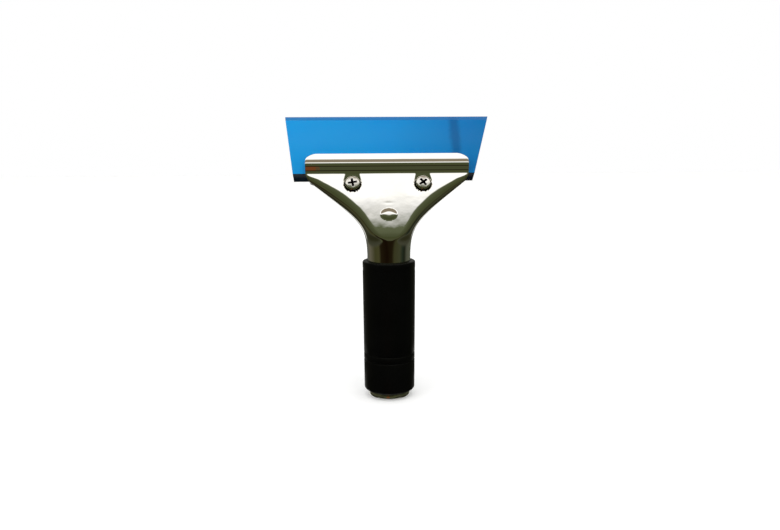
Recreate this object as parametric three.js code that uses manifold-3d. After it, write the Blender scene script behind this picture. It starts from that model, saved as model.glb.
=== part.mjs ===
// Squeegee applicator: a bevelled polyurethane blade, clamped in the head of a stamped and
// plated steel handle with a rubber grip.
// Frame: +Z runs up the axis of the handle from the centre of its end face. The side with
// the screw heads faces -Y, and the head leans back towards +Y.
// Lengths are in millimetres, and angles are in radians unless a name says otherwise.

import * as THREE from "three";
import { mergeVertices } from "three/addons/utils/BufferGeometryUtils.js";
import Module from "manifold-3d";

// ---------------------------------------------------------------- Driving dimensions

// The stamped front shell: one sheet that is a tube below and an open pan above.
const sheet = 1.2; // thickness of the steel sheet
const tubeRadius = 12.7; // outside of the tube
const seamGap = 0.4; // width of the butt seam along the back of the tube
const arcSteps = 7; // facets in each quarter of a section
const leanDegrees = 33; // how far the head leans back from the handle
const plateFoot = 97.5; // height at which the flat plate leaves the front of the tube
const footSoftness = 0.6; // rounding of that bend

// The flare from the tube to the head, seen from the front.
const flareFoot = plateFoot + 5.5; // height at which the two straight sides would leave the tube
const flareInset = 3; // how far inside the head's sides the flare ends at the shoulders
const flareSoftness = 4.5; // rounding between tube and straight sides
const rolledEdgeTop = 8; // width of the rolled shoulder near the head
const shoulderNarrowFrom = plateFoot + 22.5; // height at which the shoulder starts to narrow
const shoulderNarrowTo = plateFoot + 34.5; // height at which it is down to rolledEdgeTop
const seamOpensFrom = plateFoot - 11.5; // height at which the back of the tube starts to open
const seamOpensTo = plateFoot + 14.5; // height at which the back is open as far as its lips
const backLip = 3.6; // width of the lip that turns inwards along the open back
const flatBlend = 4; // power that blends the width of the flat plate from the tube to the head
const leastFlat = 0.02; // width of the flat where the section is the round tube

// The head. A place on it is given as a distance up the plate from plateFoot.
const headHalfWidth = 48.8;
const headCornerRadius = 7;
const headShoulderRadius = 8; // rounding below the widest part of the head
const headShoulderTop = 44; // where the straight sides of the head end
const jawFoot = 43.6; // where the plate steps forward into the jaw
const jawCrest = 48.2; // where the jaw stands furthest forward
const jawTop = 56.1; // upper edge of the jaw
const jawRise = 2.9; // how far the crest stands forward of the plate
const jawBend = 1.2; // reach of the bend where the plate turns into the step
const jawStepFrom = 0.8; // start and end of the straight part of the step, above jawFoot
const jawStepTo = 2.4;
const jawStepFromShare = 0.24; // share of jawRise that is gained at its start and at its end
const jawStepToShare = 0.76;
const jawCrestBend = 1.5; // reach of the bend on either side of the crest
const shoulderReach = 2; // height over which the outline turns in at the head's shoulders
const shoulderInset = 2.4; // how far the head's outline is drawn in there
const shoulderBulge = 3.2; // roundness of the curve from there to the straight sides

// The blade.
const bladeThickness = 9.5;
const bladeDrop = 0.25; // how far its lower edge lies below jawFoot
const bladeShows = 30.4; // how far it stands out above the jaw
const bevelLength = 5.2;
const tipWidth = 1.7; // flat left at the working edge
const tipLeft = 62.3; // half-widths at the working edge
const tipRight = 64.7;
const footLeft = 56.3; // half-widths at the lower edge
const footRight = 52.5;

// The rear clamp plate.
const clampSheet = 1.2;
const clampInset = 2.3; // how far its sides stay inside the sides of the head
const clampCornerRadius = 6;
const clampHeel = 24; // where the heel is bent forward, measured up the plate
const clampHeelHalfWidth = 17;
const clampRise = 2; // how far its jaw crest stands back
const clampStep = 2.8; // height over which it steps back to that crest
const clampHeelBend = 2; // height of the heel's straight sides above the heel
const clampShoulder = 1; // how far below jawFoot its sides turn upright

// The screws and nuts.
const screwSpacing = 41.8; // between the two screw axes
const screwBelowJaw = 8.1; // from jawFoot down to the screw axes
const screwRadius = 2.4;
const screwHeadOverhang = 1.95; // of the head beyond the shaft, on the radius
const screwHeadHeight = 3;
const screwHeadFlat = 1.05; // inset of the control point of the flat top of the head
const screwHeadRim = 0.3; // inset of the place where the top of the head turns down
const screwHeadRimDrop = 1.2; // how far that is below the top
const screwHeadSideDrop = 1.65; // how far below the top its side turns upright
const screwPastNut = 3;
const screwPointChamfer = 0.6;
const crossLength = 5.2;
const crossWidth = 1.25;
const crossDepth = 1.7;
const crossTurnDegrees = { left: 10, right: 37 };
const nutWall = 1.5; // between the bore and each flat
const nutHeight = 4;
const pocketMargin = 1.25; // of the dished pocket beyond the screw head, at the plate's surface
const pocketDepth = 1.2;
const pocketWall = 0.9; // how much smaller the pocket's floor radius is

// The raised oval between neck and screws.
const dimplePlace = 15.2;
const dimpleHalfWidth = 4.9;
const dimpleHalfHeight = 3.4;
const dimpleRise = 1.4;
const dimpleSink = 0.2; // depth of its centre behind the front of the plate

// The grip sleeve and the end plug.
const sleeveAboveTubeFoot = 0.8;
const sleeveBelowPlate = 15; // from plateFoot down to the top of the sleeve
const sleeveWallFoot = 2.35;
const sleeveWallTop = 2.8;
const sleeveRounding = 1.6;
const grooveHeights = [22.7, 26.8];
const grooveWidth = 1;
const grooveDepth = 0.5;
const plugInset = 0.2; // of the flange's rim inside the outside of the tube
const plugFlangeHeight = 2.8;
const plugRounding = 1.1;
const plugLength = 14;
const plugChamfer = 1;

// Clearances.
const touchGap = 0.2; // between pieces that rest on each other
const bladeClearance = 0.3; // between the back of the sheet and the blade
const sleeveClearance = 0.15; // between sleeve and tube, on the radius
const holeClearance = 0.4; // between a screw and the holes in the plates, on the radius
const lipClearance = 3.33; // between the lips of the open neck and the clamp plate's sides
const lipMargin = 0.6; // how far above the lips' last touch the clamp plate may pass over them
const threadClearance = 0.1; // between a screw and its nut, on the radius

// Fineness of the facets.
const sidesOfSmallRounds = 24;
const sidesOfPockets = 28;
const sidesOfHandle = 48;
const pointsOnCurves = 5;
const pointsOnScrewCurves = 4;
const pointsOnOutlines = 10;
const tubeStep = 2; // between the stations of the tube, up its axis
const headStep = 1.8; // between the stations of the flat plate
const leastStep = 0.5;
const bendReach = 4; // stations lie closer this many softnesses above and below a bend

// ---------------------------------------------------------------- Sizes that follow

const lean = THREE.MathUtils.degToRad(leanDegrees);
const tubeFoot = plugFlangeHeight + touchGap;
const shoulderFoot = headShoulderTop - headShoulderRadius;
const flareTop = plateFoot + shoulderFoot * Math.cos(lean);
const flareSlope = (headHalfWidth - flareInset - tubeRadius) / (flareTop - flareFoot);
const bladeFoot = jawFoot - bladeDrop;
const bladeTip = jawTop + bladeShows;
const clampHalfWidth = headHalfWidth - clampInset;
const screwPlace = jawFoot - screwBelowJaw;
const screwHeadRadius = screwRadius + screwHeadOverhang;
const nutAcrossFlats = 2 * (screwRadius + threadClearance + nutWall);
const pocketRadius = screwHeadRadius + pocketMargin;
const sleeveFoot = tubeFoot + sleeveAboveTubeFoot;
const sleeveTop = plateFoot - sleeveBelowPlate;
const sleeveRadiusFoot = tubeRadius + sleeveClearance + sleeveWallFoot;
const sleeveRadiusTop = tubeRadius + sleeveClearance + sleeveWallTop;
const plugFlangeRadius = tubeRadius - plugInset;

// ---------------------------------------------------------------- Materials

const finish = (color, roughness, metalness) =>
  new THREE.MeshStandardMaterial({ color, roughness, metalness });
const chrome = finish(0xdcdcd8, 0.12, 1);
const zincSteel = finish(0xc4c5c2, 0.3, 1);
const bluePolyurethane = finish(0x1f8fd8, 0.25, 0);
const blackRubber = finish(0x0d0d0e, 0.55, 0);

// ---------------------------------------------------------------- Solids

const wasm = await Module();
wasm.setup();

// A closed geometry as a solid that can be cut and joined.
function solid(geometry) {
  const bare = geometry.clone();
  bare.deleteAttribute("normal");
  bare.deleteAttribute("uv");
  const merged = mergeVertices(bare, 1e-4);
  return new wasm.Manifold(
    new wasm.Mesh({
      numProp: 3,
      vertProperties: merged.attributes.position.array,
      triVerts: new Uint32Array(merged.index.array),
    }),
  );
}

// A solid as a geometry again.
function geometryOf(manifold) {
  const mesh = manifold.getMesh();
  const geometry = new THREE.BufferGeometry();
  geometry.setAttribute("position", new THREE.BufferAttribute(mesh.vertProperties, 3));
  geometry.setIndex(new THREE.BufferAttribute(mesh.triVerts, 1));
  geometry.computeVertexNormals();
  return geometry;
}

function named(name, geometry, material) {
  const mesh = new THREE.Mesh(geometry, material);
  mesh.name = name;
  return mesh;
}

// ---------------------------------------------------------------- The head's own frame

// In the head's frame x is across, y is the depth behind the front of the plate, and z is
// the distance up the plate from its foot.
const headFrame = new THREE.Matrix4()
  .makeTranslation(0, -tubeRadius, plateFoot)
  .multiply(new THREE.Matrix4().makeRotationX(-lean));

// An outline in x and z, extruded through the plate from one depth to another.
function throughPlate(shape, frontDepth, backDepth) {
  const geometry = new THREE.ExtrudeGeometry(shape, {
    depth: backDepth - frontDepth,
    bevelEnabled: false,
    curveSegments: pointsOnOutlines,
  });
  return geometry.translate(0, 0, -backDepth).rotateX(Math.PI / 2);
}

// A profile in depth and z, extruded across the head.
function acrossHead(shape, halfWidth) {
  const geometry = new THREE.ExtrudeGeometry(shape, {
    depth: 2 * halfWidth,
    bevelEnabled: false,
    curveSegments: pointsOnOutlines,
  });
  const turn = new THREE.Matrix4().makeBasis(
    new THREE.Vector3(0, 1, 0),
    new THREE.Vector3(0, 0, 1),
    new THREE.Vector3(1, 0, 0),
  );
  return geometry.translate(0, 0, -halfWidth).applyMatrix4(turn);
}

// A straight round bar through the plate.
function barThroughPlate(radius, x, z, frontDepth, backDepth) {
  const length = backDepth - frontDepth;
  const geometry = new THREE.CylinderGeometry(radius, radius, length, sidesOfSmallRounds);
  return geometry.translate(x, (frontDepth + backDepth) / 2, z);
}

// A sheet bent along a line of points, as a closed profile: the line and its offset.
function bentSheet(line, thickness) {
  const offset = line.map((point, i) => {
    const before = line[Math.max(i - 1, 0)];
    const after = line[Math.min(i + 1, line.length - 1)];
    const into = point.clone().sub(before);
    const out = after.clone().sub(point);
    const a = (into.lengthSq() ? into : out).clone().normalize();
    const b = (out.lengthSq() ? out : into).clone().normalize();
    const mitre = a.clone().add(b).normalize();
    const normal = new THREE.Vector2(mitre.y, -mitre.x);
    return point.clone().addScaledVector(normal, thickness / mitre.dot(a));
  });
  return new THREE.Shape([...line, ...offset.reverse()]);
}

// Where things lie behind the front of the plate.
const bladeFront = sheet + bladeClearance;
const bladeBack = bladeFront + bladeThickness;
const clampFront = bladeBack + touchGap;
const clampBack = clampFront + clampSheet;
const nutFront = clampBack + touchGap;
const screwSides = [
  { side: "left", x: -screwSpacing / 2 },
  { side: "right", x: screwSpacing / 2 },
];

// ---------------------------------------------------------------- Front shell

// A value that is 0 well below `from`, and grows as a straight line well above it.
const softRamp = (value, from, softness) =>
  softness * Math.log1p(Math.exp((value - from) / softness));

// Depth of the plate's front behind the front of the tube, without the jaw.
const plateLine = (z) => -tubeRadius + Math.tan(lean) * softRamp(z, plateFoot, footSoftness);

// Half-width of the shell before its head is trimmed. Below seamOpensFrom it is the tube.
function shellHalfWidth(z) {
  const ramp = (height) => flareSlope * softRamp(height, flareFoot, flareSoftness);
  return tubeRadius + Math.max(ramp(z) - ramp(seamOpensFrom), 0);
}

// The jaw as a line on the front surface: distance up the plate, and how far forward.
function jawLine() {
  const lipFrom = jawCrest + jawCrestBend;
  const lipSlope = jawRise / (jawTop - lipFrom);
  const past = jawCrestBend; // how far the line runs on past the upper edge
  const line = new THREE.Path();
  line.moveTo(jawFoot - jawBend, 0);
  line.quadraticCurveTo(jawFoot, 0, jawFoot + jawStepFrom, jawStepFromShare * jawRise);
  line.lineTo(jawFoot + jawStepTo, jawStepToShare * jawRise);
  line.quadraticCurveTo(jawCrest - jawCrestBend, jawRise, jawCrest, jawRise);
  line.quadraticCurveTo(lipFrom, jawRise, lipFrom + jawCrestBend, jawRise - jawCrestBend * lipSlope);
  line.lineTo(jawTop + past, -past * lipSlope);
  return line.getPoints(pointsOnCurves);
}

// Stations up the shell: the height and the front line there.
function shellStations() {
  const stations = [];
  const add = (z) => stations.push({ z, front: plateLine(z) });
  [tubeFoot, seamOpensFrom].forEach(add);
  const bendFrom = plateFoot - bendReach * footSoftness;
  for (let z = seamOpensFrom + tubeStep; z < bendFrom; z += tubeStep) add(z);
  const bendTo = plateFoot + bendReach * footSoftness;
  for (let z = bendFrom; z < bendTo; z += footSoftness) add(z);
  const jaw = jawLine().map((p) => ({
    z: plateFoot + p.x * Math.cos(lean) + p.y * Math.sin(lean),
    forward: p.y / Math.cos(lean),
  }));
  for (let z = bendTo; z < jaw[0].z - leastStep; z += headStep) add(z);
  jaw.forEach(({ z, forward }) => stations.push({ z, front: plateLine(z) - forward }));
  return stations;
}

// Measures of the section at a station. The corner from the flat plate to the side, and the
// curl from the side to the back edge, are quarter ellipses round two centres.
function sectionAt({ z, front }) {
  const halfWidth = shellHalfWidth(z);
  const narrowing = THREE.MathUtils.smoothstep(z, shoulderNarrowFrom, shoulderNarrowTo);
  const roll = THREE.MathUtils.lerp(tubeRadius, rolledEdgeTop, narrowing);
  const plate = plateLine(z);
  const chord = Math.sqrt(Math.max(tubeRadius ** 2 - plate ** 2, 0));
  const inPlate = plate < 0 ? chord : tubeRadius;
  const blended = (halfWidth - roll) ** flatBlend + inPlate ** flatBlend;
  const flat = Math.max(blended ** (1 / flatBlend), leastFlat);
  const depth = Math.max((tubeRadius - plate) / 2, 2 * sheet);
  const opening = THREE.MathUtils.smoothstep(z, seamOpensFrom, seamOpensTo);
  const curl = THREE.MathUtils.lerp(tubeRadius - seamGap / 2, backLip, opening);
  return { z, front, halfWidth, flat, sideY: plate + depth, depth, curl };
}

// One face of the sheet, from the back edge on the left round the front to the right.
function sectionFace(s, acrossWall, frontWall, backWall) {
  const right = [];
  for (let i = 0; i <= arcSteps; i += 1) {
    const angle = (i / arcSteps) * (Math.PI / 2);
    const across = (s.halfWidth - s.flat - acrossWall) * Math.sin(angle);
    const forward = (s.sideY - s.front - frontWall) * Math.cos(angle);
    right.push(new THREE.Vector3(s.flat + across, s.sideY - forward, s.z));
  }
  for (let i = 1; i <= arcSteps; i += 1) {
    const angle = (i / arcSteps) * (Math.PI / 2);
    const across = (s.curl - acrossWall) * Math.cos(angle);
    const backward = (s.depth - backWall) * Math.sin(angle);
    right.push(new THREE.Vector3(s.halfWidth - s.curl + across, s.sideY + backward, s.z));
  }
  const left = right.map((p) => new THREE.Vector3(-p.x, p.y, p.z));
  return [...left.reverse(), ...right];
}

// Wall measured along an axis, when the surface leaves that axis's normal plane by a slope.
const slantedWall = (slope) => sheet * Math.hypot(1, slope);

// The sheet as a closed surface: outer face, inner face, the two long edges and the ends.
function sheetLoft(sections) {
  const rings = sections.map((s, i) => {
    const below = sections[Math.max(i - 1, 0)];
    const above = sections[Math.min(i + 1, sections.length - 1)];
    const rise = above.z - below.z;
    const acrossWall = slantedWall((above.halfWidth - below.halfWidth) / rise);
    const frontWall = slantedWall((above.front - below.front) / rise);
    const outer = sectionFace(s, 0, 0, 0);
    const inner = sectionFace(s, acrossWall, frontWall, sheet);
    return [...outer, ...inner.reverse()];
  });
  const count = rings[0].length;
  const index = [];
  const quad = (a, b, c, d) => index.push(a, b, c, a, c, d);
  for (let i = 0; i + 1 < rings.length; i += 1)
    for (let j = 0; j < count; j += 1) {
      const next = (j + 1) % count;
      quad(i * count + j, i * count + next, (i + 1) * count + next, (i + 1) * count + j);
    }
  const last = (rings.length - 1) * count;
  for (let j = 0; j + 1 < count / 2; j += 1) {
    const back = count - 1 - j;
    quad(back, back - 1, j + 1, j);
    quad(last + j, last + j + 1, last + back - 1, last + back);
  }
  const geometry = new THREE.BufferGeometry().setFromPoints(rings.flat());
  return geometry.setIndex(index);
}

// Everything the head keeps: its outline above the shoulders, and all of the sheet below.
function headOutline() {
  const shape = new THREE.Shape();
  const w = headHalfWidth;
  const c = headCornerRadius;
  const beyond = 3 * headHalfWidth;
  const turnIn = w - shoulderInset;
  const far = turnIn + 3 * headShoulderRadius;
  const bulge = headShoulderTop - shoulderBulge;
  shape.moveTo(-beyond, -beyond);
  shape.lineTo(beyond, -beyond);
  shape.lineTo(beyond, shoulderFoot);
  shape.lineTo(far, shoulderFoot);
  shape.lineTo(turnIn, shoulderFoot + shoulderReach);
  shape.quadraticCurveTo(w, bulge, w, headShoulderTop);
  shape.lineTo(w, jawTop - c);
  shape.absarc(w - c, jawTop - c, c, 0, Math.PI / 2);
  shape.lineTo(c - w, jawTop);
  shape.absarc(c - w, jawTop - c, c, Math.PI / 2, Math.PI);
  shape.lineTo(-w, headShoulderTop);
  shape.quadraticCurveTo(-w, bulge, -turnIn, shoulderFoot + shoulderReach);
  shape.lineTo(-far, shoulderFoot);
  shape.lineTo(-beyond, shoulderFoot);
  return shape;
}

// The space behind the jaw that the blade and the clamp plate need.
function bladeSpace() {
  const far = 3 * headHalfWidth;
  const lowest = bladeFoot - touchGap;
  const nearest = bladeFront - touchGap;
  const box = new THREE.BoxGeometry(2 * far, far, far);
  return box.translate(0, nearest + far / 2, lowest + far / 2);
}

// The pocket round a screw: a dish cut from the front, and the same dish standing out behind.
function pocketDish(x, grow) {
  const floor = pocketRadius - pocketWall + grow;
  const mouth = pocketRadius + grow + ((sheet - grow) * pocketWall) / pocketDepth;
  const profile = [
    new THREE.Vector2(0, -sheet + grow),
    new THREE.Vector2(mouth, -sheet + grow),
    new THREE.Vector2(floor, pocketDepth + grow),
    new THREE.Vector2(0, pocketDepth + grow),
  ];
  return new THREE.LatheGeometry(profile, sidesOfPockets).translate(x, 0, screwPlace);
}

// The raised oval, or with a smaller size its hollow behind.
function dimpleSolid(shrink, depth) {
  const ball = new THREE.SphereGeometry(1, 20, 12);
  ball.scale(dimpleHalfWidth - shrink, dimpleRise + dimpleSink, dimpleHalfHeight - shrink);
  return ball.translate(0, depth, dimplePlace);
}

function frontShell() {
  const inHead = (geometry) => solid(geometry.applyMatrix4(headFrame));
  const far = 3 * headHalfWidth;
  let shell = solid(sheetLoft(shellStations().map(sectionAt)));
  shell = shell.intersect(inHead(throughPlate(headOutline(), -far, far)));
  shell = shell.subtract(inHead(bladeSpace()));
  for (const { x } of screwSides) {
    const hole = barThroughPlate(screwRadius + holeClearance, x, screwPlace, -sheet, 3 * sheet);
    shell = shell.add(inHead(pocketDish(x, sheet)));
    shell = shell.subtract(inHead(pocketDish(x, 0))).subtract(inHead(hole));
  }
  shell = shell.add(inHead(dimpleSolid(0, dimpleSink)));
  shell = shell.subtract(inHead(dimpleSolid(sheet, sheet + dimpleSink)));
  return named("front_shell", geometryOf(shell), chrome);
}

// ---------------------------------------------------------------- Head fittings

function blade() {
  const bevelDepth = (bladeThickness - tipWidth) / 2;
  const profile = new THREE.Shape([
    new THREE.Vector2(bladeFront, bladeFoot),
    new THREE.Vector2(bladeBack, bladeFoot),
    new THREE.Vector2(bladeBack, bladeTip - bevelLength),
    new THREE.Vector2(bladeBack - bevelDepth, bladeTip),
    new THREE.Vector2(bladeFront + bevelDepth, bladeTip),
    new THREE.Vector2(bladeFront, bladeTip - bevelLength),
  ]);
  const outline = new THREE.Shape([
    new THREE.Vector2(-footLeft, bladeFoot),
    new THREE.Vector2(footRight, bladeFoot),
    new THREE.Vector2(tipRight, bladeTip),
    new THREE.Vector2(-tipLeft, bladeTip),
  ]);
  const bar = solid(acrossHead(profile, 2 * tipRight));
  const ends = solid(throughPlate(outline, 0, 2 * bladeBack));
  return named("blade", geometryOf(bar.intersect(ends)), bluePolyurethane);
}

// The clamp plate's line: a heel bent forward, the plate, and a jaw that leans on the blade.
function clampLine() {
  return [
    new THREE.Vector2(sheet + touchGap, clampHeel),
    new THREE.Vector2(clampFront, clampHeel),
    new THREE.Vector2(clampFront, jawFoot),
    new THREE.Vector2(clampFront + clampRise, jawFoot + clampStep),
    new THREE.Vector2(clampFront + clampRise, jawCrest),
    new THREE.Vector2(clampFront, jawTop),
  ];
}

// Where the plate passes the back of the neck its sides stay between the lips, at a waist.
// The back of the neck lies in one upright plane, tubeRadius behind the axis.
function clampSide() {
  const bend = clampHeel + clampHeelBend;
  const overLips = (2 * tubeRadius - clampFront * Math.cos(lean)) / Math.sin(lean);
  const waist = overLips + lipMargin;
  const height = plateFoot + waist * Math.cos(lean) - clampFront * Math.sin(lean);
  const waistHalfWidth = shellHalfWidth(height) - backLip - lipClearance;
  const side = [[clampHeelHalfWidth, bend]];
  if (waist > bend) side.push([waistHalfWidth, waist]);
  side.push([clampHalfWidth, jawFoot - clampShoulder]);
  return side;
}

function clampOutline() {
  const shape = new THREE.Shape();
  const w = clampHalfWidth;
  const c = clampCornerRadius;
  const below = clampHeel - 2 * clampSheet;
  const side = clampSide();
  shape.moveTo(-clampHeelHalfWidth, below);
  shape.lineTo(clampHeelHalfWidth, below);
  side.forEach(([x, z]) => shape.lineTo(x, z));
  shape.lineTo(w, jawTop - c);
  shape.absarc(w - c, jawTop - c, c, 0, Math.PI / 2);
  shape.lineTo(c - w, jawTop);
  shape.absarc(c - w, jawTop - c, c, Math.PI / 2, Math.PI);
  side.reverse().forEach(([x, z]) => shape.lineTo(-x, z));
  return shape;
}

function clampPlate() {
  const bent = solid(acrossHead(bentSheet(clampLine(), clampSheet), 2 * clampHalfWidth));
  let plate = bent.intersect(solid(throughPlate(clampOutline(), 0, 3 * clampBack)));
  for (const { x } of screwSides) {
    const radius = screwRadius + holeClearance;
    plate = plate.subtract(
      solid(barThroughPlate(radius, x, screwPlace, bladeBack, 2 * clampBack)),
    );
  }
  return named("clamp_plate", geometryOf(plate), chrome);
}

// A pan-head screw with a cross recess, along the head's y axis.
function clampScrew({ side, x }) {
  const under = pocketDepth - touchGap;
  const top = under - screwHeadHeight;
  const end = nutFront + nutHeight + screwPastNut;
  const r = screwHeadRadius;
  const outline = new THREE.Path();
  outline.moveTo(0, top);
  outline.quadraticCurveTo(r - screwHeadFlat, top, r - screwHeadRim, top + screwHeadRimDrop);
  outline.quadraticCurveTo(r, top + screwHeadSideDrop, r, under);
  outline.lineTo(screwRadius, under);
  outline.lineTo(screwRadius, end - screwPointChamfer);
  outline.lineTo(screwRadius - screwPointChamfer, end);
  outline.lineTo(0, end);
  let screw = solid(new THREE.LatheGeometry(outline.getPoints(pointsOnScrewCurves), sidesOfSmallRounds));
  for (const quarter of [0, 1]) {
    const slot = new THREE.BoxGeometry(crossLength, 2 * crossDepth, crossWidth);
    slot.translate(0, top, 0);
    const turn = THREE.MathUtils.degToRad(crossTurnDegrees[side]);
    screw = screw.subtract(solid(slot.rotateY(turn + (quarter * Math.PI) / 2)));
  }
  const mesh = named(`clamp_screw_${side}`, geometryOf(screw), zincSteel);
  mesh.position.set(x, 0, screwPlace);
  return mesh;
}

function clampNut({ side, x }) {
  const corner = nutAcrossFlats / 2 / Math.cos(Math.PI / 6);
  const body = new THREE.CylinderGeometry(corner, corner, nutHeight, 6);
  const boreRadius = screwRadius + threadClearance;
  const bore = new THREE.CylinderGeometry(boreRadius, boreRadius, 2 * nutHeight, sidesOfSmallRounds);
  const nut = solid(body).subtract(solid(bore));
  const mesh = named(`clamp_nut_${side}`, geometryOf(nut), zincSteel);
  mesh.position.set(x, nutFront + nutHeight / 2, screwPlace);
  return mesh;
}

// ---------------------------------------------------------------- Handle fittings

// The sleeve's outside as a line from its foot to its top, with two ring grooves.
function gripSleeve() {
  const inner = tubeRadius + sleeveClearance;
  const radiusAt = (z) =>
    THREE.MathUtils.mapLinear(z, sleeveFoot, sleeveTop, sleeveRadiusFoot, sleeveRadiusTop);
  const r = sleeveRounding;
  const outline = new THREE.Path();
  outline.moveTo(inner, sleeveFoot);
  outline.lineTo(sleeveRadiusFoot - r, sleeveFoot);
  outline.quadraticCurveTo(sleeveRadiusFoot, sleeveFoot, radiusAt(sleeveFoot + r), sleeveFoot + r);
  for (const z of grooveHeights) {
    const half = grooveWidth / 2;
    outline.lineTo(radiusAt(z - half), z - half);
    outline.lineTo(radiusAt(z) - grooveDepth, z);
    outline.lineTo(radiusAt(z + half), z + half);
  }
  outline.lineTo(radiusAt(sleeveTop - r), sleeveTop - r);
  outline.quadraticCurveTo(sleeveRadiusTop, sleeveTop, sleeveRadiusTop - r, sleeveTop);
  outline.lineTo(inner, sleeveTop);
  const profile = outline.getPoints(pointsOnCurves);
  profile.push(profile[0].clone());
  const geometry = new THREE.LatheGeometry(profile, sidesOfHandle).rotateX(Math.PI / 2);
  return named("grip_sleeve", geometryOf(solid(geometry)), blackRubber);
}

// The plug: a flange with a rounded rim, and a spigot up the tube.
function endPlug() {
  const spigot = tubeRadius - sheet - touchGap;
  const r = plugRounding;
  const outline = new THREE.Path();
  outline.moveTo(0, 0);
  outline.lineTo(plugFlangeRadius - r, 0);
  outline.quadraticCurveTo(plugFlangeRadius, 0, plugFlangeRadius, r);
  outline.lineTo(plugFlangeRadius, plugFlangeHeight);
  outline.lineTo(spigot, plugFlangeHeight);
  outline.lineTo(spigot, plugLength - plugChamfer);
  outline.lineTo(spigot - plugChamfer, plugLength);
  outline.lineTo(0, plugLength);
  const profile = outline.getPoints(pointsOnCurves);
  const geometry = new THREE.LatheGeometry(profile, sidesOfHandle).rotateX(Math.PI / 2);
  return named("end_plug", geometryOf(solid(geometry)), chrome);
}

// ---------------------------------------------------------------- Assembly

const head = new THREE.Group();
head.applyMatrix4(headFrame);
head.add(clampPlate(), blade(), ...screwSides.map(clampScrew), ...screwSides.map(clampNut));

const squeegee = new THREE.Group();
squeegee.add(frontShell(), gripSleeve(), endPlug(), head);

export default squeegee;
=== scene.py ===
# %% Load the frame
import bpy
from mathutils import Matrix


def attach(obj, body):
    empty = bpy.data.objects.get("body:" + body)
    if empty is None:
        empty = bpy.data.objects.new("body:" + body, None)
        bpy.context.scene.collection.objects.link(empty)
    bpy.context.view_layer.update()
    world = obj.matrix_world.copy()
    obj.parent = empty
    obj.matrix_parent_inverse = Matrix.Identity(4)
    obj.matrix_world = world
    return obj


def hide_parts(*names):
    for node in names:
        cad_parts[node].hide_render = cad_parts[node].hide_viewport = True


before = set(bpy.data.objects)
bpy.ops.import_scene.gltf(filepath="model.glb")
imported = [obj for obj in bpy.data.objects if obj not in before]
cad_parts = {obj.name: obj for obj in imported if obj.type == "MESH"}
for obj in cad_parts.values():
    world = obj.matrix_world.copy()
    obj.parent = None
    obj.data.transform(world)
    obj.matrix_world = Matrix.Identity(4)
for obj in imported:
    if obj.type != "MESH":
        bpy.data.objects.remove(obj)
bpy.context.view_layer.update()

# %% [markdown]
# # A hand squeegee in a studio
# The tool has nine pieces: one stamped sheet of steel that is jaw, neck and handle tube at
# once, a plate behind it that clamps the blade, two screws with nuts, the polyurethane blade,
# a rubber sleeve and a plug. Each piece is modelled here at its real size, in metres, and takes
# the place of the plain solid that the frame holds for it.

# %% Sizes in millimetres, as on the real tool
import math
import bmesh
import bpy
import numpy as np
from mathutils import Matrix, Vector

MM = 0.001
SHEET = 1.2  # thickness of the steel
TUBE = 12.7  # outside radius of the handle tube
TUBE_FOOT = 3
LEAN = math.radians(33)
PLATE_FOOT = 97.5  # height at which the flat plate leaves the tube
SCREW_X = 20.9  # from the middle to each screw
SCREW_S = 35.5  # up the plate to the screws
HOLE = 2.8  # radius of the screw holes
JAW_FOOT, JAW_TOP = 43.6, 56.1  # up the plate to where the jaw's step starts, and to its edge
BLADE_FOOT, BLADE_TIP, BEVEL_FOOT = 43.35, 86.5, 81.3
BLADE_FRONT, BLADE_BACK = 1.5, 11.0  # depth behind the front of the plate
CLAMP_FRONT = 11.2
NUT_MIDDLE = 14.6
SCREW_HEAD_RADIUS, SCREW_HEAD_HEIGHT = 4.45, 3.0
SCREW_HEAD_FOOT = 1.0  # its underside lies this far behind the front of the plate
WORN = 0.22  # width of the worn edges of the sheet
EDGE_ANGLE = math.radians(60)  # what counts as an edge there
# In metres from the shared origin: the screws' axes along the lean of the head, and the tops
# of their heads square to it.
SCREW_UP = (SCREW_S - TUBE * math.sin(LEAN) + PLATE_FOOT * math.cos(LEAN)) * MM
HEAD_TOP = (SCREW_HEAD_FOOT - SCREW_HEAD_HEIGHT
            - TUBE * math.cos(LEAN) - PLATE_FOOT * math.sin(LEAN)) * MM
HEAD = Matrix.Translation((0, -TUBE * MM, PLATE_FOOT * MM)) @ Matrix.Rotation(-LEAN, 4, "X")
print("the head leans back", round(math.degrees(LEAN), 1), "degrees")

# %% [markdown]
# ## Small helpers
# Blender's operators act on whatever is selected, so each step starts by clearing the
# selection. A piece is first shaped near the origin, and then its vertices are moved to their
# place, so that the object itself stays unturned and unscaled.

# %% Selecting, applying and placing
def only(piece):
    if bpy.context.object and bpy.context.object.mode != "OBJECT":
        bpy.ops.object.mode_set(mode="OBJECT")
    bpy.ops.object.select_all(action="DESELECT")
    piece.select_set(True)
    bpy.context.view_layer.objects.active = piece


def apply_modifier(piece, kind, **settings):
    only(piece)
    modifier = piece.modifiers.new(kind.title(), kind)
    for name, value in settings.items():
        setattr(modifier, name, value)
    bpy.ops.object.modifier_apply(modifier=modifier.name)


def in_edit_mode(piece, mode="VERT", select="SELECT"):
    only(piece)
    bpy.ops.object.mode_set(mode="EDIT")
    bpy.ops.mesh.select_mode(type=mode)
    bpy.ops.mesh.select_all(action=select)


def tidy_mesh(piece, distance=1e-6):
    in_edit_mode(piece)
    bpy.ops.mesh.remove_doubles(threshold=distance)
    bpy.ops.mesh.normals_make_consistent(inside=False)
    bpy.ops.object.mode_set(mode="OBJECT")


def smooth(piece, degrees=35):
    only(piece)
    bpy.ops.object.shade_smooth_by_angle(angle=math.radians(degrees))


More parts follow.
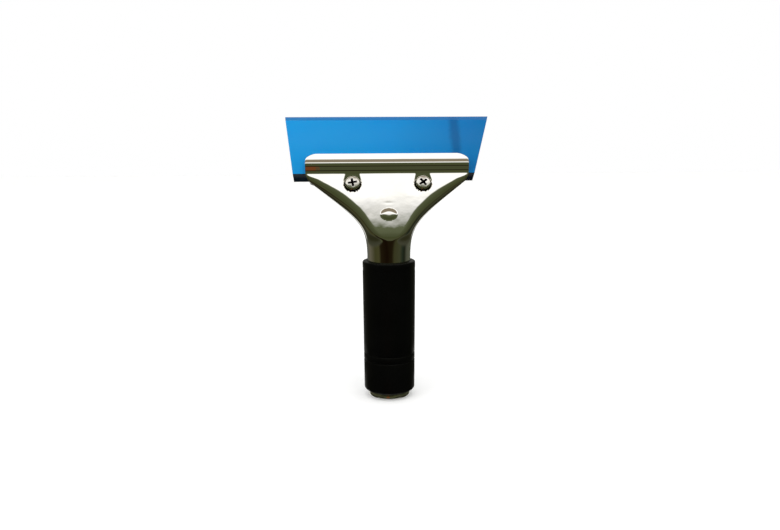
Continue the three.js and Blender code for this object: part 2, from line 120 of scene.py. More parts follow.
def finish_piece(piece, node, body, material):
    piece.data.materials.clear()
    piece.data.materials.append(material)
    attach(piece, body)
    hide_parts(node)
    piece.data.calc_loop_triangles()
    print(piece.name, "has", len(piece.data.loop_triangles), "triangles")


# %% [markdown]
# ## Turned shapes
# A plug, a sleeve and a screw are all round, so each is drawn as half a profile and spun about
# the Z axis, as a lathe would turn it. The profile is a single point that is extruded from
# corner to corner.

# %% Turning a profile
def turned(name, profile, steps=96):
    start = Vector((profile[0][0] * MM, 0, profile[0][1] * MM))
    bpy.ops.object.select_all(action="DESELECT")
    bpy.ops.mesh.primitive_plane_add(size=MM, location=(0, 0, 0))
    piece = bpy.context.object
    piece.name = name
    in_edit_mode(piece)
    bpy.ops.mesh.merge(type="CENTER")
    bpy.ops.transform.translate(value=start)
    for (r0, z0), (r1, z1) in zip(profile, profile[1:]):
        step = ((r1 - r0) * MM, 0, (z1 - z0) * MM)
        bpy.ops.mesh.extrude_region_move(TRANSFORM_OT_translate={"value": step})
    bpy.ops.mesh.select_all(action="SELECT")
    bpy.ops.mesh.spin(steps=steps, angle=2 * math.pi, center=(0, 0, 0), axis=(0, 0, 1))
    tidy_mesh(piece)
    return piece


def arc(r, z, radius, start, end, count=6):
    angles = np.radians(np.linspace(start, end, count))
    return [(r + radius * math.cos(a), z + radius * math.sin(a)) for a in angles]


# %% [markdown]
# ## Materials
# Colours are written as the hex values a paint chart gives, and one function turns them into
# the linear values that Blender mixes light with. One more function adds a node with its
# settings and its links, which keeps every material short enough to read.

# %% Colour and node helpers
def linear(hex_colour):
    values = [int(hex_colour[i:i + 2], 16) / 255 for i in (1, 3, 5)]
    return [v / 12.92 if v <= 0.04045 else ((v + 0.055) / 1.055) ** 2.4 for v in values] + [1]


def add(tree, kind, inputs=None, **settings):
    new = tree.nodes.new("ShaderNode" + kind)
    for name, value in settings.items():
        setattr(new, name, value)
    for key, value in (inputs or {}).items():
        if isinstance(value, bpy.types.NodeSocket):
            tree.links.new(value, new.inputs[key])
        else:
            new.inputs[key].default_value = value
    return new


def colour_ramp(tree, fac, stops):
    ramp = add(tree, "ValToRGB", {0: fac})
    while len(ramp.color_ramp.elements) < len(stops):
        ramp.color_ramp.elements.new(0.5)
    for element, (place, colour) in zip(ramp.color_ramp.elements, stops):
        element.position = place
        element.color = linear(colour) if isinstance(colour, str) else colour
    return ramp.outputs[0]


def new_material(name):
    material = bpy.data.materials.new(name)
    material.use_nodes = True
    tree = material.node_tree
    shader = tree.nodes["Principled BSDF"]
    place = add(tree, "TexCoord").outputs["Object"]
    return material, tree, shader, place


# %% [markdown]
# ### Bright chrome plate on stamped steel
# Decorative chrome is a mirror over polished sheet. What shows that it was stamped is that
# the mirror isn't quite flat: the press leaves shallow hollows a few centimetres across, which
# make the edge of a reflection wander, and the polishing wheel leaves a faint haze.

# %% Chrome
def chrome_plate():
    material, tree, shader, place = new_material("bright chrome on stamped steel")
    # Press waviness: hollows 12 to 25 mm across and a few hundredths of a millimetre deep.
    waves = add(tree, "TexNoise", {"Vector": place, "Scale": 62.0, "Detail": 2.0,
                                   "Roughness": 0.45})
    # Small ripples 3 mm apart, where the sheet was drawn hardest.
    ripples = add(tree, "TexNoise", {"Vector": place, "Scale": 330.0, "Detail": 1.0})
    big = add(tree, "Bump", {"Height": waves.outputs[0], "Strength": 1.0, "Distance": 0.000055})
    small = add(tree, "Bump", {"Height": ripples.outputs[0], "Strength": 1.0,
                               "Distance": 0.000005, "Normal": big.outputs[0]})
    # Polishing haze and a few fingerprints' worth of dullness, in patches about 15 mm wide.
    haze = add(tree, "TexNoise", {"Vector": place, "Scale": 70.0, "Detail": 6.0, "Roughness": 0.6})
    rough = add(tree, "MapRange", {"Value": haze.outputs[0], "From Min": 0.35, "From Max": 0.75,
                                   "To Min": 0.008, "To Max": 0.03})
    tint = colour_ramp(tree, haze.outputs[0], [(0.3, "#fffefc"), (0.8, "#faf8f2")])
    shader.inputs["Metallic"].default_value = 1
    tree.links.new(tint, shader.inputs["Base Color"])
    tree.links.new(rough.outputs[0], shader.inputs["Roughness"])
    tree.links.new(small.outputs[0], shader.inputs["Normal"])
    return material


# %% [markdown]
# ### Bright zinc on the screws and nuts
# Screws are barrel-plated: they tumble against each other, so the zinc is bright but softly dented
# all over, a little duller than chrome. The recess of the cross and the other corners are darkened
# with painted shade.

# %% Zinc
def zinc_plate():
    material, tree, shader, place = new_material("barrel-plated bright zinc on steel")
    # Tumbling marks about 0.4 mm across.
    dents = add(tree, "TexNoise", {"Vector": place, "Scale": 2500.0, "Detail": 3.0})
    mottle = add(tree, "TexNoise", {"Vector": place, "Scale": 420.0, "Detail": 4.0})
    bump = add(tree, "Bump", {"Height": dents.outputs[0], "Strength": 0.2, "Distance": 0.000006})
    rough = add(tree, "MapRange", {"Value": mottle.outputs[0], "From Min": 0.3, "From Max": 0.7,
                                   "To Min": 0.1, "To Max": 0.18})
    colour = colour_ramp(tree, mottle.outputs[0], [(0.3, "#fbf8f2"), (0.75, "#e9e5dc")])
    # Painted shade in corners: where ambient occlusion finds the recess and the thread roots, the
    # colour is darkened.
    corners = add(tree, "AmbientOcclusion", {"Distance": 0.001, "Color": [1, 1, 1, 1]})
    corner_shade_mask = add(tree, "MapRange", {"Value": corners.outputs["AO"], "From Min": 0.42,
                                  "From Max": 0.74})
    with_corner_shade = add(tree, "Mix", {0: corner_shade_mask.outputs[0], 6: linear("#14110d"), 7: colour},
                data_type="RGBA")
    # Painted shade: the recess is painted near-black, where shade falls in it. It is what lies
    # deeper than 0.15 mm under the top of the head, within 2.7 mm of the axis of its screw.
    where = add(tree, "SeparateXYZ", {0: place})
    side = add(tree, "Math", {0: where.outputs[0]}, operation="ABSOLUTE")
    beside = add(tree, "Math", {0: side.outputs[0], 1: SCREW_X * MM}, operation="SUBTRACT")
    up_head = add(tree, "VectorMath", {0: place, 1: (0, math.sin(LEAN), math.cos(LEAN))},
                  operation="DOT_PRODUCT")
    over = add(tree, "Math", {0: up_head.outputs["Value"], 1: SCREW_UP}, operation="SUBTRACT")
    across = add(tree, "CombineXYZ", {0: beside.outputs[0], 1: over.outputs[0]})
    radius = add(tree, "VectorMath", {0: across.outputs[0]}, operation="LENGTH")
    near = add(tree, "Math", {0: radius.outputs["Value"], 1: 0.0027}, operation="LESS_THAN")
    inward = add(tree, "VectorMath", {0: place, 1: (0, math.cos(LEAN), -math.sin(LEAN))},
                 operation="DOT_PRODUCT")
    deep = add(tree, "MapRange", {"Value": inward.outputs["Value"], "From Min": HEAD_TOP + 0.0001,
                                  "From Max": HEAD_TOP + 0.0002})
    recess_shade_mask = add(tree, "Math", {0: near.outputs[0], 1: deep.outputs[0]}, operation="MULTIPLY")
    with_recess_shade = add(tree, "Mix", {0: recess_shade_mask.outputs[0], 6: with_corner_shade.outputs[2], 7: linear("#0b0a08")},
                data_type="RGBA")
    shader.inputs["Metallic"].default_value = 1
    tree.links.new(with_recess_shade.outputs[2], shader.inputs["Base Color"])
    tree.links.new(rough.outputs[0], shader.inputs["Roughness"])
    tree.links.new(bump.outputs[0], shader.inputs["Normal"])
    return material


# %% [markdown]
# ### Blue cast polyurethane
# The blade is cast against polished plates, so its faces are glossy, and the rubber lets a little
# light in. The bevel is ground, which on the real blade leaves it slightly duller with fine
# scratches along the edge. Here the bevel is painted darker as painted shade, the downward foot is
# painted near-black as painted shadow, and a dark streak across the blue is a painted reflection.

# %% Polyurethane
def blue_polyurethane():
    material, tree, shader, place = new_material("blue cast polyurethane")
    # Uneven pigment in clouds about 40 mm wide. The blue is also painted darker from left to right,
    # as painted shade where the light falls off.
    clouds = add(tree, "TexNoise", {"Vector": place, "Scale": 26.0, "Detail": 2.0})
    across = add(tree, "SeparateXYZ", {0: place})
    painted_falloff = add(tree, "MapRange", {"Value": across.outputs[0], "From Min": -0.06,
                                   "From Max": 0.065})
    body = colour_ramp(tree, painted_falloff.outputs[0], [(0, "#169fe6"), (0.5, "#0c92dc"),
                                                (0.8, "#0880c6"), (1, "#0778ba")])
    cloudy = add(tree, "Mix", {0: 0.12, 6: body, 7: clouds.outputs[1]},
                 data_type="RGBA", blend_type="SOFT_LIGHT")
    # A painted reflection: a dark, wavy streak 9 mm wide with soft edges, painted into the blue
    # where a dark reflection lies across the blade.
    warp = add(tree, "TexNoise", {"Vector": place, "Scale": 90.0, "Detail": 2.0})
    bent = add(tree, "Math", {0: warp.outputs[0], 1: 0.0045, 2: across.outputs[0]},
               operation="MULTIPLY_ADD")
    off_line = add(tree, "Math", {0: bent.outputs[0], 1: 0.0447}, operation="SUBTRACT")
    distance = add(tree, "Math", {0: off_line.outputs[0]}, operation="ABSOLUTE")
    painted_reflection_mask = add(tree, "MapRange", {"Value": distance.outputs[0], "From Min": 0.0008,
                                  "From Max": 0.0045, "To Min": 0.5, "To Max": 0.0},
               interpolation_type="SMOOTHSTEP")
    with_painted_reflection = add(tree, "Mix", {0: painted_reflection_mask.outputs[0], 6: cloudy.outputs[2], 7: linear("#05467f")},
                 data_type="RGBA")
    # The ground bevel starts 81.3 mm up the head; its colour is painted darker than the cast skin
    # there, as painted shade.
    up_head = add(tree, "VectorMath", {0: place, 1: (0, math.sin(LEAN), math.cos(LEAN))},
                  operation="DOT_PRODUCT")
    ground = add(tree, "MapRange", {"Value": up_head.outputs["Value"], "From Min": 0.15595,
                                    "From Max": 0.15625, "To Min": 0.0, "To Max": 0.72})
    with_painted_bevel_shade = add(tree, "Mix", {0: ground.outputs[0], 6: with_painted_reflection.outputs[2],
                                    7: linear("#0763a6")}, data_type="RGBA")
    # The foot, 43.35 mm up the head, faces down into shadow; its colour is painted nearly black
    # there, as painted shadow.
    foot_shadow_mask = add(tree, "MapRange", {"Value": up_head.outputs["Value"], "From Min": 0.11835,
                                  "From Max": 0.1183, "To Min": 0.0, "To Max": 0.93})
    with_painted_foot_shadow = add(tree, "Mix", {0: foot_shadow_mask.outputs[0], 6: with_painted_bevel_shade.outputs[2],
                                  7: linear("#010f1c")}, data_type="RGBA")
    # The casting skin rolls gently, 8 mm from crest to crest, and carries fine 0.3 mm specks.
    skin = add(tree, "TexNoise", {"Vector": place, "Scale": 120.0, "Detail": 2.0})
    specks = add(tree, "TexNoise", {"Vector": place, "Scale": 3300.0, "Detail": 2.0})
    roll = add(tree, "Bump", {"Height": skin.outputs[0], "Strength": 1.0, "Distance": 0.00003})
    fine = add(tree, "Bump", {"Height": specks.outputs[0], "Strength": 0.25, "Distance": 0.00001,
                              "Normal": roll.outputs[0]})
    rough = add(tree, "MapRange", {"Value": skin.outputs[0], "To Min": 0.16, "To Max": 0.28})
    shader.inputs["IOR"].default_value = 1.5
    shader.inputs["Specular IOR Level"].default_value = 0.22
    shader.inputs["Subsurface Weight"].default_value = 0.12
    shader.inputs["Subsurface Radius"].default_value = (0.0006, 0.0012, 0.0022)
    shader.inputs["Subsurface Scale"].default_value = 1.0
    tree.links.new(with_painted_foot_shadow.outputs[2], shader.inputs["Base Color"])
    tree.links.new(rough.outputs[0], shader.inputs["Roughness"])
    tree.links.new(fine.outputs[0], shader.inputs["Normal"])
    return material


# %% [markdown]
# ### Black rubber sleeve
# The sleeve is moulded in a blasted mould, which gives a satin skin with a grain too fine to
# see one by one. Handling polishes it in patches, and dust greys it slightly.

# %% Rubber
def black_rubber():
    material, tree, shader, place = new_material("satin moulded black rubber")
    # The real grain is about 0.1 mm; 0.35 mm is drawn, the finest that still shows.
    grain = add(tree, "TexNoise", {"Vector": place, "Scale": 2800.0, "Detail": 2.0})
    wear = add(tree, "TexNoise", {"Vector": place, "Scale": 55.0, "Detail": 5.0})
    bump = add(tree, "Bump", {"Height": grain.outputs[0], "Strength": 0.35, "Distance": 0.00003})
    colour = colour_ramp(tree, wear.outputs[0], [(0.3, "#060606"), (0.8, "#0c0c0c")])
    rough = add(tree, "MapRange", {"Value": wear.outputs[0], "From Min": 0.3, "From Max": 0.7,
                                   "To Min": 0.36, "To Max": 0.5})
    shader.inputs["IOR"].default_value = 1.5
    shader.inputs["Specular IOR Level"].default_value = 0.2
    tree.links.new(colour, shader.inputs["Base Color"])
    tree.links.new(rough.outputs[0], shader.inputs["Roughness"])
    tree.links.new(bump.outputs[0], shader.inputs["Normal"])
    return material


chrome, zinc = chrome_plate(), zinc_plate()
polyurethane, rubber = blue_polyurethane(), black_rubber()
print("materials:", [m.name for m in (chrome, zinc, polyurethane, rubber)])

# %% [markdown]
# ## The stamped shell
# One blank of sheet steel is rolled into a tube below, opened out into a fan above, and its
# top is pressed into a jaw. It could be cut from a solid, but a mirror finish shows every
# facet, so it is made as the press makes it: a flat grid is the blank, each of its rows is laid
# on the section the sheet has at that height, and only then does it get its thickness.

# %% The lines that the press tools follow
# Sizes along the handle.
FLARE_FOOT, FLARE_SLOPE, FLARE_SOFTNESS = 103, 1.34, 4.5
SEAM_OPENS, SEAM_OPEN = 86, 112  # where the back starts to open, and where it is fully open
NARROW_FROM, NARROW_TO = 120, 132  # where the rolled shoulders get narrower
ROLL, ROLL_TAPER, TAPER_FROM = 8, 3.2, 129.2
SEAM_GAP, BACK_LIP, NARROWEST = 0.4, 3.6, 0.02
# Places up the plate, and half-widths of the head.
HEAD_HALF, HEAD_CORNER, SHOULDER_FOOT, SHOULDER_TOP = 48.8, 7, 36, 44
FINE = 3000  # points along a section when it is measured


def soft_ramp(value, start, softness):
    return softness * np.logaddexp(0, (value - start) / softness)


def smoothstep(value, low, high):
    t = np.clip((value - low) / (high - low), 0, 1)
    return t * t * (3 - 2 * t)


def plate_line(z):
    return -TUBE + math.tan(LEAN) * soft_ramp(z, PLATE_FOOT, 0.8)


def flare(z):
    return FLARE_SLOPE * soft_ramp(z, FLARE_FOOT, FLARE_SOFTNESS)


def shell_half_width(z):
    return TUBE + max(flare(z) - flare(SEAM_OPENS), 0)


def quadratic(p, q, r, count=12):
    t = np.linspace(0, 1, count)[:, None]
    return (1 - t) ** 2 * np.array(p) + 2 * t * (1 - t) * np.array(q) + t ** 2 * np.array(r)


RISE = 2.9  # how far the crest of the jaw stands forward
LIP = RISE / 6.4  # slope of the lip
# The jaw in three curves: into the step, up to the crest, and down the lip.
JAW = np.vstack([
    quadratic((42.4, 0), (JAW_FOOT, 0), (44.4, 0.7)),
    quadratic((46.0, 2.2), (46.8, RISE), (48.2, RISE)),
    quadratic((48.3, RISE), (50.6, RISE), (53.4, RISE - 2.8 * LIP)),
    [(JAW_TOP, RISE - 5.5 * LIP), (60, RISE - 9.4 * LIP)],
])


def jaw_height(s):
    return np.interp(s, JAW[:, 0], JAW[:, 1], left=0)


def outline_half_width(s):
    turned_in = HEAD_HALF - 2.4 * np.clip((SHOULDER_TOP - s) / 6, 0, 1) ** 2
    shoulder = np.where(s < 38, 46.4 + 12 * (38 - s), turned_in)
    corner_foot = JAW_TOP - HEAD_CORNER
    over = np.clip(s - corner_foot, 0, HEAD_CORNER)
    corner = HEAD_HALF - HEAD_CORNER + np.sqrt(np.clip(HEAD_CORNER ** 2 - over ** 2, 0, None))
    return np.where(s < SHOULDER_FOOT, 200, np.where(s < corner_foot, shoulder, corner))


# %% One section of the sheet, from its middle to its back edge
def section(z, front, count):
    half_width = shell_half_width(z)
    plate = plate_line(z)
    narrowing = (ROLL - TUBE) * smoothstep(z, NARROW_FROM, NARROW_TO)
    roll = TUBE + narrowing - ROLL_TAPER * smoothstep(z, TAPER_FROM, NARROW_TO)
    chord = math.sqrt(max(TUBE ** 2 - plate ** 2, 0)) if plate < 0 else TUBE
    flat = max(((half_width - roll) ** 4 + chord ** 4) ** 0.25, NARROWEST)
    depth = max((TUBE - plate) / 2, 2 * SHEET)
    side = plate + depth
    closed = TUBE - SEAM_GAP / 2
    curl = closed + (BACK_LIP - closed) * smoothstep(z, SEAM_OPENS, SEAM_OPEN)
    a = np.linspace(0, math.pi / 2, 260)
    x = np.concatenate([np.linspace(0, flat, 200), flat + (half_width - flat) * np.sin(a[1:]),
                        half_width - curl + curl * np.cos(a[1:])])
    y = np.concatenate([np.full(200, front), side - (side - front) * np.cos(a[1:]),
                        side + depth * np.sin(a[1:])])
    length = np.concatenate([[0], np.cumsum(np.hypot(np.diff(x), np.diff(y)))])
    even = np.linspace(0, length[-1], count)
    return even, np.interp(even, length, x), np.interp(even, length, y)


def trimmed_length(z, front):
    along, x, y = section(z, front, FINE)
    s = (y + TUBE) * math.sin(LEAN) + (z - PLATE_FOOT) * math.cos(LEAN)
    d = (y + TUBE) * math.cos(LEAN) - (z - PLATE_FOOT) * math.sin(LEAN)
    # Behind the jaw the sheet ends where the blade's space begins, 0.2 mm before the blade.
    in_blade_space = (s > BLADE_FOOT - 0.2) & (d > BLADE_FRONT - 0.2)
    out = (x > outline_half_width(s)) | in_blade_space
    return along[np.argmax(out)] if out.any() else along[-1]


# %% The rows, from the foot of the tube to the top of the jaw
TIP = 5.5  # height over which the rolled edge comes to its rounded end
TOP = 133
# From each height to the next, and how far apart the rows are there.
bands = [(TUBE_FOOT, SEAM_OPENS, 4.15), (SEAM_OPENS, 95, 1), (95, 100, 0.4),
         (100, 118, 0.5), (118, TOP, 0.32)]
heights = [z for low, high, step in bands for z in np.arange(low, high, step)]
rows = [(z, plate_line(z)) for z in heights]
coarse = [(z, trimmed_length(z, plate_line(z))) for z in np.arange(NARROW_FROM, TOP, 0.05)]
tip_height, tip_length = next(b for a, b in zip(coarse, coarse[1:]) if a[1] - b[1] > 4)
tips = tip_height - TIP + TIP * np.sin(np.radians(np.linspace(0, 90, 16)))
rows = [row for row in rows if not tips[0] - 0.1 < row[0] < tips[-1] + 0.1]
rows += [(z, plate_line(z)) for z in tips]
round_corner = np.sin(np.radians(np.linspace(0, 90, 18)))
up_plate = list(np.arange(42.5, 49, 0.35))
up_plate += list(JAW_TOP - HEAD_CORNER + HEAD_CORNER * round_corner)
for s in up_plate:
    h = float(jaw_height(s))
    rows.append((PLATE_FOOT + s * math.cos(LEAN) + h * math.sin(LEAN),
                 -TUBE + s * math.sin(LEAN) - h * math.cos(LEAN)))
rows.sort()
rows = [rows[0]] + [b for a, b in zip(rows, rows[1:]) if b[0] - a[0] > 0.04]
print(len(rows), "rows; the rolled edge ends at a height of", round(float(tip_height), 1), "mm")


# %% [markdown]
# The press also sinks a pocket round each screw, so that the heads lie low, and raises an oval
# that stiffens the neck. Both are added by pushing the blank's points in or out of the plate.

# %% Pockets and the raised oval
POCKET_DEPTH = 1.2
OVAL_S, OVAL_HALF_WIDTH, OVAL_HALF_HEIGHT, OVAL_RISE = 15.2, 4.9, 3.5, 0.45


def pressed_depth(x, s):
    """How far the press pushes the plate back (or, below zero, forward) at a place on it."""
    off = abs(abs(x) - SCREW_X)
    above = np.clip(s - SCREW_S, 0, None)
    from_axis = np.where(s < SCREW_S, np.hypot(off, s - SCREW_S), off * (1 + 0.05 * above))
    # Above its screw a pocket gets shallower, and it ends at the step of the jaw.
    ramp = np.clip(1.06 - above / 8.4, 0.1, 1) * (s < JAW_FOOT)
    rim = 5.1 + 0.65 * smoothstep(s, SCREW_S - 2, SCREW_S + 3)
    pocket = (1 - smoothstep(from_axis, 4.35, rim)) * ramp
    up_oval = (s - OVAL_S) / OVAL_HALF_HEIGHT
    from_oval = np.hypot(x / OVAL_HALF_WIDTH, up_oval)
    oval = np.clip(1 - from_oval ** 4, 0, 1) * (1 - 0.07 * up_oval)
    # A faint crease, 7.4 mm above the middle of the oval.
    crease = 0.016 * np.exp(-((s - 22.6) / 0.6) ** 2 - (x / 2.6) ** 2)
    return POCKET_DEPTH * pocket - OVAL_RISE * oval + crease


# %% Laying the blank on its sections
HALF = 100  # columns of the blank on each side of its middle


def stamped_sheet(name, rows, place_row):
    bpy.ops.object.select_all(action="DESELECT")
    bpy.ops.mesh.primitive_grid_add(x_subdivisions=2 * HALF, y_subdivisions=len(rows) - 1, size=1)
    blank = bpy.context.object
    blank.name = name
    co = np.zeros(len(blank.data.vertices) * 3)
    blank.data.vertices.foreach_get("co", co)
    co = co.reshape(-1, 3)
    column = np.rint((co[:, 0] + 0.5) * 2 * HALF).astype(int)
    row = np.rint((co[:, 1] + 0.5) * (len(rows) - 1)).astype(int)
    table = np.array([place_row(*r) for r in rows])
    placed = table[row, column]
    blank.data.vertices.foreach_set("co", (placed * MM).ravel())
    blank.data.update()
    return blank


def spread_columns(z, length):
    """Places along half a row, closer together at the oval and at the screw pockets."""
    at = np.linspace(0, length, 600)
    at_pockets = smoothstep(z, 114, 120) * np.exp(-((at - SCREW_X) / 5.5) ** 2)
    at_oval = (1 - smoothstep(z, 114, 120)) * smoothstep(z, 98, 105) * np.exp(-(at / 5) ** 2)
    weight = np.cumsum(1 + 1.6 * at_pockets + 1.2 * at_oval)
    weight = (weight - weight[0]) / (weight[-1] - weight[0])
    return np.interp(np.linspace(0, 1, HALF + 1), weight, at)


def shell_row(z, front):
    full = section(z, front, 2)[0][-1]
    length = trimmed_length(z, front)
    if tip_height - TIP < z < tip_height:
        rise = (z - tip_height + TIP) / TIP
        length = min(length, tip_length + (full - tip_length) * math.sqrt(max(1 - rise ** 2, 0)))
    along, x, y = section(z, front, FINE)
    places = spread_columns(z, length)
    x, y = np.interp(places, along, x), np.interp(places, along, y)
    s = (y + TUBE) * math.sin(LEAN) + (z - PLATE_FOOT) * math.cos(LEAN)
    d = (y + TUBE) * math.cos(LEAN) - (z - PLATE_FOOT) * math.sin(LEAN)
    # Only what lies near the plane of the plate takes the pressing.
    on_plate = (1 - smoothstep(abs(d), 0.3, 1.2)) * (s > 8) * (s < 43.2)
    push = pressed_depth(x, s) * on_plate
    y, up = y + push * math.cos(LEAN), z - push * math.sin(LEAN)
    right = np.stack([x, y, up], axis=1)
    left = right[:0:-1] * (-1, 1, 1)
    return np.vstack([left, right])


def cut_screw_holes(sheet):
    to_head = HEAD.inverted()
    mesh = bmesh.new()
    mesh.from_mesh(sheet.data)
    places = {}
    for v in mesh.verts:
        p = to_head @ v.co / MM
        centre = Vector((math.copysign(SCREW_X, p.x), p.y, SCREW_S))
        places[v] = (p, centre, (p - centre).length)
    inside = [v for v in mesh.verts if places[v][2] < HOLE]
    bmesh.ops.delete(mesh, geom=inside, context="VERTS")
    for v in mesh.verts:
        p, centre, distance = places[v]
        if v.is_boundary and distance < HOLE + 1.2:
            v.co = HEAD @ ((centre + (p - centre) * HOLE / distance) * MM)
    mesh.to_mesh(sheet.data)
    mesh.free()


shell = stamped_sheet("stamped_shell", rows, shell_row)
cut_screw_holes(shell)
print("the blank has", len(shell.data.polygons), "faces")

# %% Giving the sheet its thickness and its worn edges
apply_modifier(shell, "SOLIDIFY", thickness=SHEET * MM, offset=-1, use_quality_normals=True)
apply_modifier(shell, "BEVEL", width=WORN * MM, segments=2, limit_method="ANGLE",
               angle_limit=EDGE_ANGLE)
smooth(shell, 40)
finish_piece(shell, "front_shell", "handle", chrome)

# %% [markdown]
# ## The clamp plate
# Behind the blade a second, smaller stamping presses it against the jaw. Its heel is bent
# forward and stands on the shell, so that the screws can pull its jaw tight. It is laid out
# in the same way as the shell, along the line that the sheet follows from heel to lip.

# %% Laying out the clamp plate
def rounded_line(points, radius, count=6):
    line = [np.array(points[0], float)]
    for before, corner, after in zip(points, points[1:], points[2:]):
        corner = np.array(corner, float)
        into, out = np.array(before) - corner, np.array(after) - corner
        reach = min(radius, np.linalg.norm(into) * 0.45, np.linalg.norm(out) * 0.45)
        start = corner + into / np.linalg.norm(into) * reach
        end = corner + out / np.linalg.norm(out) * reach
        line.extend(quadratic(start, corner, end, count))
    return np.array(line + [np.array(points[-1], float)])


HEEL_S, HEEL_HALF, HEEL_TOP = 24, 17, 26
CLAMP_HALF, CLAMP_CORNER, CLAMP_SHOULDER = 46.5, 6, 42.6
CREST_DEPTH = CLAMP_FRONT + 2
BEND_RADIUS, LAST = 1.8, 6.5  # LAST is the length of line that is laid out more finely
clamp_line = rounded_line([(1.5, HEEL_S), (CLAMP_FRONT, HEEL_S), (CLAMP_FRONT, JAW_FOOT),
                           (CREST_DEPTH, 46.4), (CREST_DEPTH, 48.2), (11.25, 56.05)], BEND_RADIUS)
reach = np.concatenate([[0], np.cumsum(np.hypot(*np.diff(clamp_line, axis=0).T))])
fine_part = LAST * np.sin(np.radians(np.linspace(4, 90, 18)))
stops = np.concatenate([np.linspace(0, reach[-1] - LAST, 70), reach[-1] - LAST + fine_part])
clamp_rows = [(np.interp(t, reach, clamp_line[:, 0]), np.interp(t, reach, clamp_line[:, 1]))
              for t in stops]


def clamp_half_width(d, s):
    if s < HEEL_TOP or d < BLADE_BACK - 1:
        return HEEL_HALF
    if s < CLAMP_SHOULDER:
        share = (s - HEEL_TOP) / (CLAMP_SHOULDER - HEEL_TOP)
        return HEEL_HALF + (CLAMP_HALF - HEEL_HALF) * share
    over = min(max(s - JAW_TOP + CLAMP_CORNER, 0), CLAMP_CORNER)
    return CLAMP_HALF - CLAMP_CORNER + math.sqrt(CLAMP_CORNER ** 2 - over ** 2)


def clamp_row(d, s):
    x = np.linspace(-1, 1, 2 * HALF + 1) * clamp_half_width(d, s)
    points = [HEAD @ Vector((c * MM, d * MM, s * MM)) / MM for c in x]
    return np.array(points)


clamp = stamped_sheet("clamp_plate_stamping", clamp_rows, clamp_row)
cut_screw_holes(clamp)
apply_modifier(clamp, "SOLIDIFY", thickness=SHEET * MM, offset=-1, use_quality_normals=True)
apply_modifier(clamp, "BEVEL", width=WORN * MM, segments=2, limit_method="ANGLE",
               angle_limit=EDGE_ANGLE)
smooth(clamp, 40)
finish_piece(clamp, "clamp_plate", "clamp", chrome)

# %% [markdown]
# ## The blade
# The blade is a bar cast in one piece, cut at a slant at both ends and ground to a bevel. A
# block is cut by four planes, as on a saw and a grinder, and its edges are then eased a little.
# The bisect operator needs the direction of each cut as a vector of length one.

# %% Cutting the blade from a block
bpy.ops.object.select_all(action="DESELECT")
middle = ((BLADE_FRONT + BLADE_BACK) / 2 * MM, (BLADE_FOOT + BLADE_TIP) / 2 * MM)
bpy.ops.mesh.primitive_cube_add(size=1, location=(0, *middle))
blade = bpy.context.object
blade.name = "polyurethane_blade"
in_edit_mode(blade)
bpy.ops.transform.resize(value=(140 * MM, (BLADE_BACK - BLADE_FRONT) * MM,
                                (BLADE_TIP - BLADE_FOOT) * MM))
# Each end: its half-width at the working edge and at the foot, and its side.
for top, foot, side in ((62.3, 56.3, -1), (64.7, 52.5, 1)):
    normal = Vector((side * (BLADE_TIP - BLADE_FOOT), 0, foot - top)).normalized()
    bpy.ops.mesh.select_all(action="SELECT")
    bpy.ops.mesh.bisect(plane_co=(side * foot * MM, 0, BLADE_FOOT * MM), plane_no=normal,
                        use_fill=True, clear_outer=True)
# Each bevel goes 3.9 mm into the blade over its last 5.2 mm.
for depth, back in ((BLADE_FRONT, -1), (BLADE_BACK, 1)):
    bpy.ops.mesh.select_all(action="SELECT")
    bpy.ops.mesh.bisect(plane_co=(0, depth * MM, BEVEL_FOOT * MM),
                        plane_no=Vector((0, back * 5.2, 3.9)).normalized(),
                        use_fill=True, clear_outer=True)
bpy.ops.object.mode_set(mode="OBJECT")
apply_modifier(blade, "BEVEL", width=0.2 * MM, segments=3, limit_method="ANGLE",
               angle_limit=math.radians(25))
only(blade)
bpy.ops.object.transform_apply(location=True, rotation=True, scale=True)
blade.data.transform(HEAD)
smooth(blade, 20)
finish_piece(blade, "blade", "blade", polyurethane)

# %% [markdown]
# ## Screws and nuts
# The screws are ordinary pan heads with a cross recess. The head and shank are turned, the
# cross is cut by two blocks that narrow towards the bottom, as the punch does, and the thread
# is a small ridge wound up the shank with the Screw modifier.

# %% One screw, made once and copied
def cut_by(piece, cutter, operation="DIFFERENCE"):
    apply_modifier(piece, "BOOLEAN", object=cutter, operation=operation, solver="EXACT")
    bpy.data.objects.remove(cutter)


def cross_block(angle):
    bpy.ops.object.select_all(action="DESELECT")
    bpy.ops.mesh.primitive_cube_add(size=1, location=(0, 0, 0))
    block = bpy.context.object
    in_edit_mode(block)
    bpy.ops.transform.resize(value=(7.2 * MM, 1.7 * MM, 3.6 * MM))
    bpy.ops.object.mode_set(mode="OBJECT")
    for v in block.data.vertices:
        if v.co.z < 0:
            v.co = Vector((v.co.x * 0.5, v.co.y * 0.7, v.co.z))
    block.data.transform(Matrix.Rotation(angle, 4, "Z"))
    block.data.transform(Matrix.Translation((0, 0, 2.95 * MM)))
    return block


def pan_head_screw():
    brim = quadratic((3.95, 2.95), (4.42, 2.88), (SCREW_HEAD_RADIUS, 2.2), 9)
    head = [(0, SCREW_HEAD_HEIGHT), (3.7, 2.98)] + list(map(tuple, brim))
    under = [(SCREW_HEAD_RADIUS, 0.55), (4.3, 0.12), (4.0, 0)]
    shank = under + [(2.05, 0), (2.05, -18.1), (1.6, -18.6), (0, -18.6)]
    screw = turned("pan_head_screw", head + shank, 64)
    for quarter in (0, 90):
        cut_by(screw, cross_block(math.radians(quarter)))
    smooth(screw, 32)
    return screw


